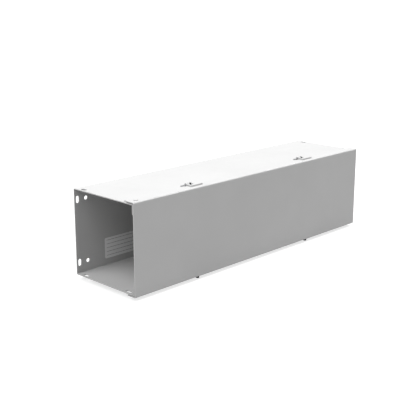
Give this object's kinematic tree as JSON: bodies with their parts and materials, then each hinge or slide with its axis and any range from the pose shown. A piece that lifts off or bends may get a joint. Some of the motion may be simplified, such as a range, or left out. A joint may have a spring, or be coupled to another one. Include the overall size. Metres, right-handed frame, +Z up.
{
  "type": "hinged cover wireway",
  "caption": "Square sheet steel wiring trough, open at both ends, with a flat cover hinged along its top edge and held by screws along its bottom edge.",
  "frame": {"origin": "under the middle of the wireway, level with the lowest points, the heads of the two cover screws", "axes": "X along the trough, +Y out of the back wall towards the wall it is fixed to, +Z up"},
  "size_m": [0.6032, 0.1524, 0.1685],
  "materials": {
    "trough": "light grey powder coat",
    "cover": "light grey powder coat",
    "hinge_paint": "light grey powder coat",
    "pin_steel": "zinc plated steel",
    "dark_steel": "dark zinc plated steel"
  },
  "bodies": {
    "trough_body": {"trough": "trough", "hinge_body_leaf_left": "hinge_paint", "hinge_pin_left": "pin_steel", "pin_spacer_left": "dark_steel", "cover_screw_left": "dark_steel", "hinge_body_leaf_right": "hinge_paint", "hinge_pin_right": "pin_steel", "pin_spacer_right": "dark_steel", "cover_screw_right": "dark_steel"},
    "cover_body": {"cover": "cover", "hinge_cover_leaf_left": "hinge_paint", "hinge_cover_leaf_right": "hinge_paint"}
  },
  "joints": [
    {"name": "cover_hinge", "type": "hinge", "parent": "trough_body", "child": "cover_body", "pos_m": [0, -0.0535, 0.1652], "axis": [-1, 0, 0], "range_deg": [0, 180]}
  ]
}
